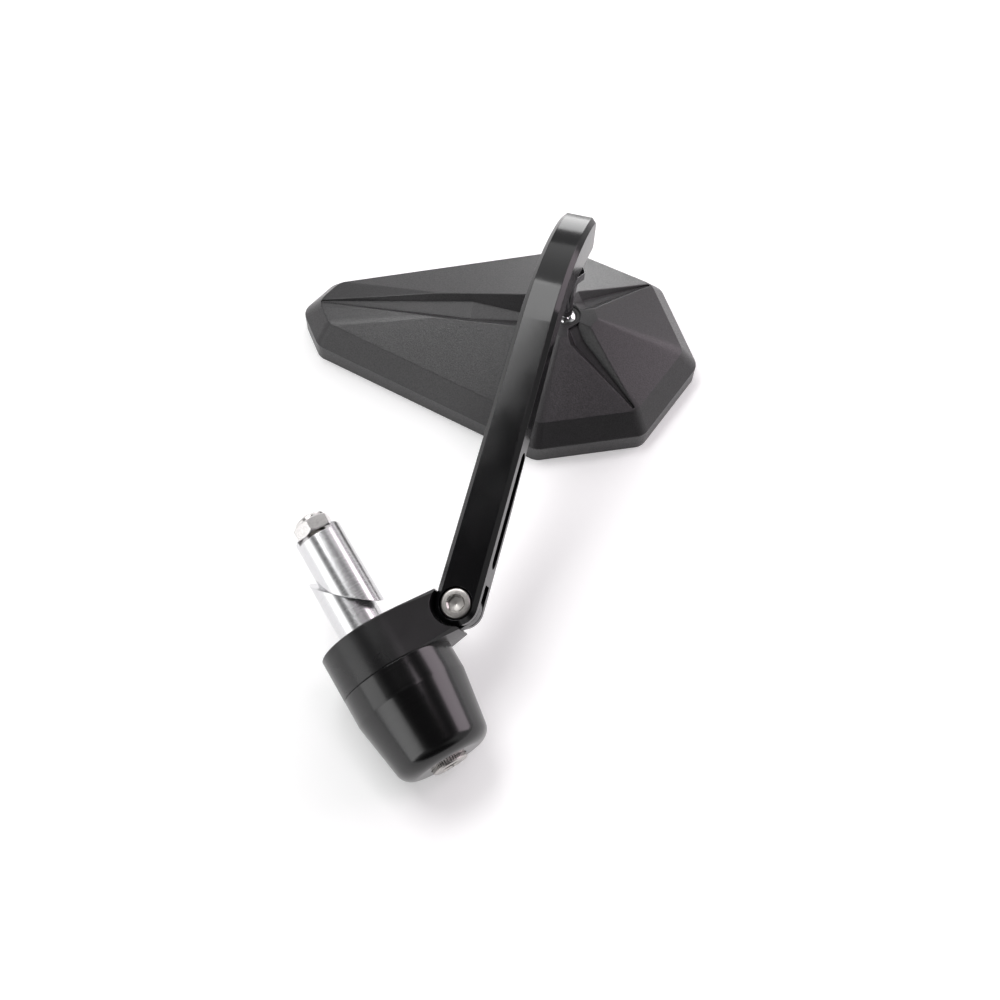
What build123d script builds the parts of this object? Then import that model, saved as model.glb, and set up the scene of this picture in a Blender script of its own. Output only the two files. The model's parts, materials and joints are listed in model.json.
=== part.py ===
from build123d import *
import os
from math import acos, atan2, cos, hypot, radians, sin, sqrt, tan

os.makedirs("parts", exist_ok=True)

# Motorcycle bar end mirror, in millimetres. It lies on a bench: the head flat on its glass side and
# the bar weight on its cone. The origin is on the bar's axis, in the middle of the expander's full
# round. +X and +Y run along the bench and +Z points up.

# How the mirror lies
bar_heading = 124.2  # turn of the bar's axis on the bench, from +X
lever_roll = 18.1  # turn of the lever about the bar's axis, up off the bench
fold_angle = 42.8  # turn of the arm from the lever's own line
head_heading = -6.1  # turn of the head's long axis on the bench, from +X

# Link: a ring on the bar's end with a lever to the arm's pivot
bar_end_radius = 16.0
link_height = 12.8
link_reach = 23.5
lever_thickness = 12.5
lever_chamfer = 1.4
lever_horn_cut = 2.8
link_edge = 0.3
tongue_thickness = 4.2
tongue_radius = 5.8

# Bar weight
weight_length = 27.1
weight_straight = 7.7
weight_taper = 9.0
weight_corner = 4.5
weight_edge = 0.3

# Through bolt and lock nut
bolt_radius = 3.0
bolt_head_radius = 5.0
bolt_head_height = 6.0
bolt_head_proud = 1.4
bolt_head_edge = 0.5
bolt_socket_flats = 5.0
bolt_socket_depth = 3.0
bolt_tip_past_nut = 0.6
bolt_tip_chamfer = 0.5
nut_flats = 10.0
nut_hex_height = 4.0
nut_lift = 1.6  # above the slot's floor, with the bolt slack
nut_collar_height = 1.2
nut_collar_radius = 4.5
nut_corner_drop = 0.5
insert_height = 1.3
insert_radius = 3.9
nut_lip_radius = 3.4

# Expander: two wedges on a slanted cut, with the nut in a slot at the top
expander_radius = 6.8
expander_length = 32.5
expander_cut_height = 12.8
expander_cut_angle = 45.0  # between the slant and the bar's axis
expander_cut_turn = 158.2  # of the slant's rising line, from the lever's line
expander_shift = 2.6
expander_travel = 2.9
expander_slot_depth = 2.0
expander_edge = 0.5

# Arm
arm_thickness = 12.4
arm_waist_start = 28.0
arm_waist_place = 70.0
arm_waist_height = -2.2
fork_radius = 5.85
arm_flank_slope = 0.38
arm_straight = 80.7
arm_bend_radius = 53.5
arm_bend_turn = 49.0
arm_end_depth = 10.2
arm_underside_slope = 36.5
arm_underside_radius = 40.0
arm_tip_round = 2.6
arm_chamfer = 1.3
fork_slot_depth = 7.0
side_slot_start = 11.8
side_slot_end = 45.0
side_slot_height = 4.6
side_slot_drop = 0.7

# Pivot screw and the two friction washers beside the tongue
pivot_screw_radius = 2.5
pivot_head_radius = 4.25
pivot_head_height = 2.3
pivot_counterbore_depth = 2.5
pivot_head_edge = 0.35
pivot_socket_flats = 4.0
pivot_socket_depth = 1.5
pivot_tip_short = 0.4
friction_washer_radius = 5.2
friction_washer_thickness = 0.4

# Ball stud in the arm's end
ball_radius = 4.0
stud_on_bend = 17.5  # turn along the arm's bend at which the ball sits
stud_lean = 22.0  # of the stud, from square to the arm
stud_side_lean = 3.37  # towards the lever's side
stud_seat_distance = 23.4
stud_neck_radius = 1.8
stud_neck_length = 7.0
stud_root_radius = 2.9
stud_hex_flats = 8.0
stud_hex_height = 3.0
stud_thread_radius = 2.5
stud_thread_length = 7.6
stud_tip_chamfer = 0.5

# Head: outline corners along and across its long axis
tip_along = -81.4
tip_shoulder_along = -73.8
tip_shoulder_across = 12.4
flank_corner_across = 39.5
heel_corner_along = 31.9
heel_corner_across = 28.9
heel_along = 46.3
corner_radius = 5.0
inner_corner_radius = 0.6
rim_height = 6.3
bevel_width = 5.0
bevel_top = 13.0
hub_along = 3.15
hub_share = 0.257  # of the bevel's inner outline
hub_hole_chamfer = 0.6

# Sunken channels from the hub to the tip and to the two heel corners
channel_mouth = 4.6  # from the hub's axis
channel_mouth_drop = 0.7
channel_start = 9.0
long_channel_kink = 29.6
long_channel_end = 78.0
long_start_floor = 1.1
long_start_height = 19.0
long_start_flare = 1.35
long_kink_floor = 3.3
long_kink_height = 18.9
long_kink_flare = 1.35
long_end_floor = 0.3
long_end_height = 12.7
end_flare = 0.7
short_channel_end = 34.2
short_start_floor = 1.5
short_start_height = 19.9
short_start_flare = 1.0
short_start_shift = 1.8  # away from the head's long axis
short_end_floor = 0.25
short_end_height = 13.0
channel_open_height = 14.0

# Inside the head: glass, tape, cavity and the ball joint
ball_height = 20.2
hub_over_ball = 3.2
pocket_inset = 2.6
glass_thickness = 2.0
glass_sunk = 0.3
tape_thickness = 0.5
tape_width = 2.8
cavity_inset = 6.2
cavity_wall_height = 9.0
cavity_share = 0.3
boss_drop = 5.6  # below the ball
seat_wall = 0.95
seat_reach = 2.6
plate_radius = 12.0
plate_thickness = 2.4
plate_plug_drop = 1.2
plate_screw_circle = 8.8
plate_screw_count = 3
plate_screw_radius = 1.5
plate_screw_reach = 4.4
plate_screw_head_radius = 2.6
plate_screw_head_height = 1.8
plate_screw_socket_flats = 2.5
plate_screw_socket_depth = 1.1
spring_washer_radius = 2.8
spring_washer_thickness = 0.8
spring_washer_slit = 0.5

# Clearances
running_gap = 0.05
swivel_gap = 0.1
slide_gap = 0.03
hole_gap = 0.3
glass_gap = 0.3
plate_gap = 0.1

# Directions and planes of the bar, the pivot, the arm, the stud and the head
bench_up = Vector(0, 0, 1)
bar_level_dir = Vector(cos(radians(bar_heading)), sin(radians(bar_heading)), 0)
bar_dir = bar_level_dir * cos(radians(weight_taper)) + bench_up * sin(radians(weight_taper))
lever_level_dir = Vector(sin(radians(bar_heading)), -cos(radians(bar_heading)), 0)
lever_dir = lever_level_dir * cos(radians(lever_roll))
lever_dir = lever_dir + lever_level_dir.cross(bar_dir) * sin(radians(lever_roll))
pivot_dir = lever_dir.cross(bar_dir)

plug_bottom = expander_cut_height + expander_radius / tan(radians(expander_cut_angle))
plug_top = expander_length - expander_slot_depth
bar_origin = bar_dir * (-(plug_bottom + plug_top) / 2)
bar = Plane(origin=bar_origin, x_dir=lever_dir, z_dir=bar_dir)
bar_section = Plane(origin=bar_origin, x_dir=lever_dir, z_dir=pivot_dir)
bar_axis = Axis(bar_origin, bar_dir)

pivot_point = bar_origin + lever_dir * link_reach - bar_dir * (link_height / 2)
pivot = Plane(origin=pivot_point, x_dir=lever_dir, z_dir=pivot_dir)
arm_dir = lever_dir * cos(radians(fold_angle)) + bar_dir * sin(radians(fold_angle))
across_dir = arm_dir.cross(pivot_dir)
arm_plan = Plane(origin=pivot_point, x_dir=arm_dir, z_dir=pivot_dir)
arm_side = Plane(origin=pivot_point, x_dir=arm_dir, z_dir=across_dir)

# The weight's cone and the head's rim lie on the same bench
weight_break = link_height + weight_straight
bench_drop = weight_break * sin(radians(weight_taper)) + bar_end_radius * cos(radians(weight_taper))
bench_level = bar_origin.Z - bench_drop
ball_along_arm = arm_straight + arm_bend_radius * sin(radians(stud_on_bend))
ball_aside = stud_seat_distance * sin(radians(stud_side_lean))
ball_reach = pivot_point + arm_dir * ball_along_arm - across_dir * ball_aside
ball_rise = bench_level + ball_height - ball_reach.Z
ball_point = ball_reach + pivot_dir * (ball_rise / pivot_dir.Z)
stud_dir = (
    arm_dir * (sin(radians(stud_lean)) * cos(radians(stud_side_lean)))
    + pivot_dir * (cos(radians(stud_lean)) * cos(radians(stud_side_lean)))
    + across_dir * sin(radians(stud_side_lean))
)
stud = Plane(origin=ball_point, x_dir=across_dir, z_dir=stud_dir)
stud_section = Plane(origin=ball_point, x_dir=stud.x_dir, z_dir=stud.y_dir * -1)
stud_axis = Axis(ball_point, stud_dir)

head_dir = Vector(cos(radians(head_heading)), sin(radians(head_heading)), 0)
head = Plane(
    origin=ball_point - head_dir * hub_along - bench_up * ball_height,
    x_dir=head_dir,
    z_dir=bench_up,
)
hub_foot = ball_point - bench_up * ball_height

# Sizes that follow from the ones above
weight_end = -link_height - weight_length
bolt_head_seat = weight_end - bolt_head_proud + bolt_head_height
weight_end_radius = bar_end_radius - (weight_length - weight_straight) * tan(radians(weight_taper))
bolt_hole_radius = bolt_radius + hole_gap
nut_seat = plug_top + nut_lift
nut_top = nut_seat + nut_hex_height + nut_collar_height
bolt_tip = nut_top + bolt_tip_past_nut
insert_floor = nut_seat + nut_hex_height - insert_height / 2
fork_gap = tongue_thickness + 2 * (friction_washer_thickness + slide_gap)
ear_clearance_radius = fork_radius + 0.6
pivot_hole_radius = pivot_screw_radius + running_gap
pivot_head_seat = arm_thickness / 2 - pivot_counterbore_depth
seat_bore_radius = ball_radius + running_gap
seat_radius = seat_bore_radius + seat_wall
socket_radius = seat_radius + running_gap
ledge_height = glass_sunk + glass_thickness + tape_thickness
hub_height = ball_height + hub_over_ball
boss_bottom = ball_height - boss_drop
plate_screw_tip = boss_bottom + plate_screw_reach
plate_top = boss_bottom - plate_gap
plate_bottom = plate_top - plate_thickness
screw_head_top = plate_bottom - spring_washer_thickness

# The link's ring and lever, with a tongue that goes between the fork's ears
lever_half = lever_thickness / 2
flank_turn = atan2(lever_half, link_reach) + acos(bar_end_radius / hypot(link_reach, lever_half))
flank_x = bar_end_radius * cos(flank_turn)
flank_y = bar_end_radius * sin(flank_turn)
flank_slope = atan2(flank_y - lever_half, link_reach - flank_x)

with BuildPart() as link:
    with BuildSketch(bar.offset(-link_height)):
        with BuildLine():
            Polyline(
                (flank_x, flank_y),
                (link_reach, lever_half),
                (link_reach, -lever_half),
                (flank_x, -flank_y),
            )
            ThreePointArc((flank_x, -flank_y), (-bar_end_radius, 0), (flank_x, flank_y))
        make_face()
    extrude(amount=link_height)
    ring_edges = link.edges().filter_by(GeomType.CIRCLE)
    chamfer(ring_edges, length=link_edge)
    # A bevel on each long edge of the lever, which runs out where the flank meets the ring
    for side in (1, -1):
        for face_height, face_dir in ((0, bar_dir), (-link_height, bar_dir * -1)):
            flank_dir = lever_dir * sin(flank_slope) + bar.y_dir * (side * cos(flank_slope))
            lever_corner = bar.from_local_coords((link_reach, side * lever_half, face_height))
            bevel_inner = lever_corner - flank_dir * lever_chamfer
            bevel_lower = lever_corner - face_dir * lever_chamfer
            bevel_runout = bar.from_local_coords((flank_x, side * flank_y, face_height))
            bevel_dir = (bevel_lower - bevel_inner).cross(bevel_runout - bevel_inner)
            if bevel_dir.dot(face_dir) < 0:
                bevel_dir = bevel_dir * -1
            split(bisect_by=Plane(origin=bevel_inner, z_dir=bevel_dir), keep=Keep.BOTTOM)
    with BuildSketch(pivot):
        Circle(ear_clearance_radius)
        with Locations((link_reach / 2 - lever_horn_cut, 0)):
            Rectangle(link_reach, 4 * ear_clearance_radius)
    extrude(amount=lever_thickness, both=True, mode=Mode.SUBTRACT)
    with BuildSketch(pivot):
        Circle(tongue_radius)
        with Locations((-ear_clearance_radius, 0)):
            Rectangle(2 * ear_clearance_radius, 2 * tongue_radius)
    extrude(amount=tongue_thickness / 2, both=True)
    with BuildSketch(pivot):
        Circle(pivot_hole_radius)
    extrude(amount=lever_thickness, both=True, mode=Mode.SUBTRACT)
    with BuildSketch(bar):
        Circle(bolt_radius + swivel_gap)
    extrude(amount=-link_height, mode=Mode.SUBTRACT)
link.part.label = "link"
export_step(link.part, "parts/link.step")

# The bar weight, turned, with a counterbore for the bolt's head
with BuildPart() as bar_weight:
    with BuildSketch(bar_section) as weight_profile:
        Polygon(
            (bolt_hole_radius, -link_height),
            (bar_end_radius, -link_height),
            (bar_end_radius, -weight_break),
            (weight_end_radius, weight_end),
            (bolt_head_radius + hole_gap, weight_end),
            (bolt_head_radius + hole_gap, bolt_head_seat),
            (bolt_hole_radius, bolt_head_seat),
            align=None,
        )
        outer_corners = weight_profile.vertices().sort_by(Axis.X)
        fillet(outer_corners[-3], radius=weight_corner)
        chamfer(weight_profile.vertices().sort_by(Axis.Y)[-1], length=weight_edge)
    revolve(axis=bar_axis)
bar_weight.part.label = "bar_weight"
export_step(bar_weight.part, "parts/bar_weight.step")

# The through bolt: cap head with a hex socket, and a plain shank at the thread's outside
with BuildPart() as through_bolt:
    with BuildSketch(bar.offset(bolt_head_seat)):
        Circle(bolt_head_radius)
    extrude(amount=-bolt_head_height)
    fillet(through_bolt.edges().sort_by(bar_axis)[0], radius=bolt_head_edge)
    with BuildSketch(bar.offset(bolt_head_seat)):
        Circle(bolt_radius)
    extrude(amount=bolt_tip - bolt_head_seat)
    chamfer(through_bolt.edges().sort_by(bar_axis)[-1], length=bolt_tip_chamfer)
    with BuildSketch(bar.offset(bolt_head_seat - bolt_head_height)):
        RegularPolygon(bolt_socket_flats / 2, 6, major_radius=False)
    extrude(amount=bolt_socket_depth, mode=Mode.SUBTRACT)
through_bolt.part.label = "through_bolt"
export_step(through_bolt.part, "parts/through_bolt.step")

# The expander's slanted cut and the line its lower half moves along
shift_dir = lever_dir * cos(radians(expander_cut_turn)) + bar.y_dir * sin(radians(expander_cut_turn))
cut_dir = bar_dir * sin(radians(expander_cut_angle)) - shift_dir * cos(radians(expander_cut_angle))
cut = Plane(origin=bar_origin + bar_dir * expander_cut_height, z_dir=cut_dir)
shift_turn = Rot(0, 0, expander_cut_turn)

with BuildPart() as draw_wedge:
    with BuildSketch(bar):
        Circle(expander_radius)
    extrude(amount=expander_length)
    chamfer(draw_wedge.edges().sort_by(bar_axis)[-1], length=expander_edge)
    split(bisect_by=cut.offset(slide_gap / 2), keep=Keep.TOP)
    with BuildSketch(bar):
        Circle(bolt_hole_radius)
    extrude(amount=expander_length, mode=Mode.SUBTRACT)
    with BuildSketch(bar.offset(plug_top)):
        Rectangle(nut_flats + 2 * running_gap, 4 * expander_radius)
    extrude(amount=2 * expander_slot_depth, mode=Mode.SUBTRACT)
draw_wedge.part.label = "draw_wedge"
export_step(draw_wedge.part, "parts/draw_wedge.step")

with BuildPart() as slip_wedge:
    with BuildSketch(bar):
        with Locations(shift_turn * Pos(expander_shift, 0)):
            Circle(expander_radius)
    extrude(amount=expander_length)
    split(bisect_by=cut.offset(-slide_gap / 2), keep=Keep.BOTTOM)
    with BuildSketch(bar):
        with Locations(shift_turn * Pos(expander_shift - expander_travel / 2, 0)):
            SlotCenterToCenter(expander_travel, 2 * bolt_hole_radius)
    extrude(amount=expander_length, mode=Mode.SUBTRACT)
slip_wedge.part.label = "slip_wedge"
export_step(slip_wedge.part, "parts/slip_wedge.step")

# The lock nut: hex with turned corners and a collar crimped over its insert
nut_corner_radius = nut_flats / sqrt(3)
nut_hex_top = nut_seat + nut_hex_height

with BuildPart() as lock_nut:
    with BuildSketch(bar.offset(nut_seat)):
        RegularPolygon(nut_flats / 2, 6, major_radius=False, rotation=30)
    extrude(amount=nut_hex_height)
    with BuildSketch(bar_section):
        Polygon(
            (0, nut_seat),
            (nut_flats / 2 - running_gap, nut_seat),
            (nut_corner_radius, nut_seat + nut_corner_drop),
            (nut_corner_radius, nut_hex_top - nut_corner_drop),
            (nut_flats / 2 - running_gap, nut_hex_top),
            (0, nut_hex_top),
            align=None,
        )
    revolve(axis=bar_axis, mode=Mode.INTERSECT)
    with BuildSketch(bar.offset(nut_hex_top)):
        Circle(nut_collar_radius)
    extrude(amount=nut_collar_height)
    fillet(lock_nut.edges().sort_by(bar_axis)[-1], radius=nut_collar_height / 2)
    with BuildSketch(bar_section):
        Polygon(
            (0, nut_seat),
            (bolt_radius + running_gap, nut_seat),
            (bolt_radius + running_gap, insert_floor),
            (insert_radius + slide_gap, insert_floor),
            (insert_radius + slide_gap, insert_floor + insert_height),
            (nut_lip_radius, insert_floor + insert_height),
            (nut_lip_radius, nut_top),
            (0, nut_top),
            align=None,
        )
    revolve(axis=bar_axis, mode=Mode.SUBTRACT)
lock_nut.part.label = "lock_nut"
export_step(lock_nut.part, "parts/lock_nut.step")

with BuildPart() as nut_insert:
    with BuildSketch(bar.offset(insert_floor)):
        Circle(insert_radius)
        Circle(bolt_radius + running_gap, mode=Mode.SUBTRACT)
    extrude(amount=insert_height)
nut_insert.part.label = "nut_insert"
export_step(nut_insert.part, "parts/nut_insert.step")

# The arm: a side profile crossed with a tapered plan, then bevelled along all its long edges
arm_half = arm_thickness / 2
bend_end_x = arm_straight + arm_bend_radius * sin(radians(arm_bend_turn))
bend_end_y = arm_half - arm_bend_radius * (1 - cos(radians(arm_bend_turn)))
bend_mid_x = arm_straight + arm_bend_radius * sin(radians(arm_bend_turn / 2))
bend_mid_y = arm_half - arm_bend_radius * (1 - cos(radians(arm_bend_turn / 2)))
arm_end_x = bend_end_x - arm_end_depth * sin(radians(arm_bend_turn))
arm_end_y = bend_end_y - arm_end_depth * cos(radians(arm_bend_turn))
waist_slope = (arm_waist_height + arm_half) / (arm_waist_place - arm_waist_start)
down_slope = tan(radians(arm_underside_slope))
elbow_x = (arm_end_y + down_slope * arm_end_x + arm_half + waist_slope * arm_waist_start) / (
    waist_slope + down_slope
)
elbow_y = -arm_half + waist_slope * (elbow_x - arm_waist_start)
flank_end = radians(arm_flank_slope)
flank_tip = fork_radius / cos(flank_end) - bend_end_x * tan(flank_end)

with BuildPart() as arm:
    with BuildSketch(arm_side) as arm_profile:
        with BuildLine():
            Line((-2 * fork_radius, arm_half), (arm_straight, arm_half))
            ThreePointArc((arm_straight, arm_half), (bend_mid_x, bend_mid_y), (bend_end_x, bend_end_y))
            Polyline(
                (bend_end_x, bend_end_y),
                (arm_end_x, arm_end_y),
                (elbow_x, elbow_y),
                (arm_waist_start, -arm_half),
                (-2 * fork_radius, -arm_half),
                (-2 * fork_radius, arm_half),
            )
        make_face()
        for corner_x, corner_y, corner_round in (
            (bend_end_x, bend_end_y, arm_tip_round),
            (arm_end_x, arm_end_y, arm_tip_round),
            (elbow_x, elbow_y, arm_underside_radius),
            (arm_waist_start, -arm_half, arm_underside_radius),
        ):
            corner = Vertex(corner_x, corner_y, 0)
            fillet(arm_profile.vertices().sort_by_distance(corner)[0], radius=corner_round)
    extrude(amount=2 * fork_radius, both=True)
    with BuildSketch(arm_plan):
        Circle(fork_radius)
        Polygon(
            (fork_radius * sin(flank_end), fork_radius * cos(flank_end)),
            (bend_end_x, flank_tip),
            (bend_end_x, -flank_tip),
            (fork_radius * sin(flank_end), -fork_radius * cos(flank_end)),
            align=None,
        )
    extrude(amount=2 * arm_bend_radius, both=True, mode=Mode.INTERSECT)
    square_edges = arm.edges().filter_by(Axis(pivot_point, across_dir))
    square_edges = square_edges + arm.edges().filter_by(Axis(pivot_point, pivot_dir))
    chamfer(arm.edges() - square_edges, length=arm_chamfer)
    with BuildSketch(arm_side):
        with Locations((fork_slot_depth - 2 * fork_radius, 0)):
            Rectangle(4 * fork_radius, fork_gap)
        with Locations(((side_slot_start + side_slot_end) / 2, -side_slot_drop)):
            SlotOverall(side_slot_end - side_slot_start, side_slot_height)
    extrude(amount=2 * fork_radius, both=True, mode=Mode.SUBTRACT)
    with BuildSketch(arm_plan):
        Circle(pivot_hole_radius)
    extrude(amount=arm_thickness, both=True, mode=Mode.SUBTRACT)
    with BuildSketch(arm_plan.offset(pivot_head_seat)):
        Circle(pivot_head_radius + hole_gap)
    extrude(amount=arm_thickness, mode=Mode.SUBTRACT)
    with BuildSketch(stud.offset(stud_seat_distance)):
        Circle(stud_hex_flats / sqrt(3) + hole_gap)
    extrude(amount=-stud_seat_distance, mode=Mode.SUBTRACT)
    with BuildSketch(stud.offset(stud_seat_distance)):
        Circle(stud_thread_radius + running_gap)
    extrude(amount=stud_thread_length + hole_gap, mode=Mode.SUBTRACT)
arm.part.label = "arm"
export_step(arm.part, "parts/arm.step")

# The pivot screw and its friction washers
with BuildPart() as pivot_screw:
    with BuildSketch(arm_plan.offset(pivot_head_seat)):
        Circle(pivot_head_radius)
    extrude(amount=pivot_head_height)
    fillet(pivot_screw.edges().sort_by(Axis(pivot_point, pivot_dir))[-1], radius=pivot_head_edge)
    with BuildSketch(arm_plan.offset(pivot_head_seat)):
        Circle(pivot_screw_radius)
    extrude(amount=-(pivot_head_seat + arm_half - pivot_tip_short))
    with BuildSketch(arm_plan.offset(pivot_head_seat + pivot_head_height)):
        RegularPolygon(pivot_socket_flats / 2, 6, major_radius=False)
    extrude(amount=-pivot_socket_depth, mode=Mode.SUBTRACT)
pivot_screw.part.label = "pivot_screw"
export_step(pivot_screw.part, "parts/pivot_screw.step")

with BuildPart() as pivot_washer_upper:
    with BuildSketch(arm_plan.offset(fork_gap / 2)):
        Circle(friction_washer_radius)
        Circle(pivot_hole_radius, mode=Mode.SUBTRACT)
    extrude(amount=-friction_washer_thickness)
pivot_washer_upper.part.label = "pivot_washer_upper"
export_step(pivot_washer_upper.part, "parts/pivot_washer_upper.step")

with BuildPart() as pivot_washer_lower:
    with BuildSketch(arm_plan.offset(-fork_gap / 2)):
        Circle(friction_washer_radius)
        Circle(pivot_hole_radius, mode=Mode.SUBTRACT)
    extrude(amount=friction_washer_thickness)
pivot_washer_lower.part.label = "pivot_washer_lower"
export_step(pivot_washer_lower.part, "parts/pivot_washer_lower.step")

# The ball stud: ball, neck, hex and thread
neck_start = sqrt(ball_radius**2 - stud_neck_radius**2)
stud_hex_start = stud_seat_distance - stud_hex_height
stud_tip = stud_seat_distance + stud_thread_length

with BuildPart() as ball_stud:
    with BuildSketch(stud_section):
        with BuildLine():
            ThreePointArc((0, -ball_radius), (ball_radius, 0), (stud_neck_radius, neck_start))
            Polyline(
                (stud_neck_radius, neck_start),
                (stud_neck_radius, stud_neck_length),
                (stud_root_radius, stud_hex_start),
                (stud_root_radius, stud_seat_distance),
                (stud_thread_radius, stud_seat_distance),
                (stud_thread_radius, stud_tip - stud_tip_chamfer),
                (stud_thread_radius - stud_tip_chamfer, stud_tip),
                (0, stud_tip),
                (0, -ball_radius),
            )
        make_face()
    revolve(axis=stud_axis)
    with BuildSketch(stud.offset(stud_hex_start)):
        RegularPolygon(stud_hex_flats / 2, 6, major_radius=False)
    extrude(amount=stud_hex_height)
ball_stud.part.label = "ball_stud"
export_step(ball_stud.part, "parts/ball_stud.step")

# The split seat around the ball
seat_bore_edge = sqrt(seat_bore_radius**2 - seat_reach**2)
seat_edge = sqrt(seat_radius**2 - seat_reach**2)

with BuildPart() as ball_seat_upper:
    with Locations(ball_point):
        Sphere(seat_radius)
        Sphere(seat_bore_radius, mode=Mode.SUBTRACT)
    split(bisect_by=stud.offset(slide_gap / 2), keep=Keep.TOP)
    split(bisect_by=stud.offset(seat_reach), keep=Keep.BOTTOM)
ball_seat_upper.part.label = "ball_seat_upper"
export_step(ball_seat_upper.part, "parts/ball_seat_upper.step")

with BuildPart() as ball_seat_lower:
    with Locations(ball_point):
        Sphere(seat_radius)
        Sphere(seat_bore_radius, mode=Mode.SUBTRACT)
    split(bisect_by=stud.offset(-slide_gap / 2), keep=Keep.BOTTOM)
    split(bisect_by=stud.offset(-seat_reach), keep=Keep.TOP)
ball_seat_lower.part.label = "ball_seat_lower"
export_step(ball_seat_lower.part, "parts/ball_seat_lower.step")

# The head's outline, round from the tip
outline = (
    Vector(tip_along, 0),
    Vector(tip_shoulder_along, -tip_shoulder_across),
    Vector(0, -flank_corner_across),
    Vector(heel_corner_along, -heel_corner_across),
    Vector(heel_along, 0),
    Vector(heel_corner_along, heel_corner_across),
    Vector(0, flank_corner_across),
    Vector(tip_shoulder_along, tip_shoulder_across),
)
hub = Vector(hub_along, 0)


def inset(distance):
    """Corners of the head's outline with every side moved in by a distance."""
    corners = []
    for place, corner in enumerate(outline):
        arriving = (corner - outline[place - 1]).normalized()
        leaving = (outline[(place + 1) % len(outline)] - corner).normalized()
        first = Vector(-arriving.Y, arriving.X)
        second = Vector(-leaving.Y, leaving.X)
        moved = corner + (first + second) * (distance / (1 + first.dot(second)))
        corners.append((moved.X, moved.Y))
    return corners


def drawn_in(distance, share):
    """Corners of an inset outline drawn in towards the hub."""
    return [
        (hub.X + (x - hub.X) * share, hub.Y + (y - hub.Y) * share) for x, y in inset(distance)
    ]


def channel_plane(turn, distance):
    """Upright plane across a channel, at a distance from the hub's axis."""
    channel_dir = head_dir.rotate(Axis.Z, turn)
    return Plane(
        origin=hub_foot + channel_dir * distance,
        x_dir=bench_up.cross(channel_dir),
        z_dir=channel_dir,
    )


def channel_corners(floor_half, floor_height, flare, shift=0):
    """Corners of a channel's cross-section, open above the head."""
    open_half = floor_half + flare * channel_open_height
    open_height = floor_height + channel_open_height
    return [
        (shift - floor_half, floor_height),
        (shift + floor_half, floor_height),
        (shift + open_half, open_height),
        (shift - open_half, open_height),
    ]


heel_inner = Vector(*inset(bevel_width)[3])
heel_turn = atan2(heel_inner.Y - hub.Y, heel_inner.X - hub.X) * 180 / radians(180)

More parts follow.
